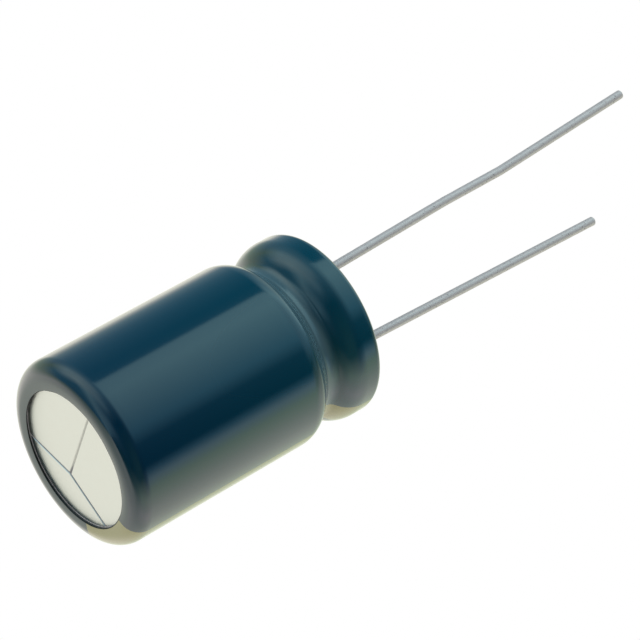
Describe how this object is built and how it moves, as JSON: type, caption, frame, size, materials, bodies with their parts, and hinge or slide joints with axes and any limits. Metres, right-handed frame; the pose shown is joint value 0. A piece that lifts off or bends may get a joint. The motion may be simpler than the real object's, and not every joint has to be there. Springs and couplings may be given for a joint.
{
  "type": "radial electrolytic capacitor",
  "caption": "Radial aluminium electrolytic capacitor: beaded can in a dark blue sleeve with a gold stripe, vent score in its bare base, rubber bung and long wire leads.",
  "frame": {"origin": "centre of the sleeve's lip at the closed end, on the can's own axis, where the part stands", "axes": "+Z along the can towards the leads; both leads lie in the XZ plane, the cathode on the +X side"},
  "size_m": [0.0162, 0.0162, 0.062],
  "materials": {
    "sleeve": "glossy shrunk film with a gold printed stripe",
    "can": "pale matte, drawn",
    "bung": "matte moulded",
    "roll": "wound foil and paper, soaked",
    "tape": "clear yellowish film",
    "tab": "bright, pressed",
    "lead": "satin tinned wire"
  },
  "bodies": {
    "root": {"sleeve": "sleeve", "can": "can", "rubber_bung": "bung", "foil_roll": "roll", "roll_tape": "tape", "anode_tab": "tab", "cathode_tab": "tab", "anode_lead": "lead", "cathode_lead": "lead"}
  },
  "joints": []
}
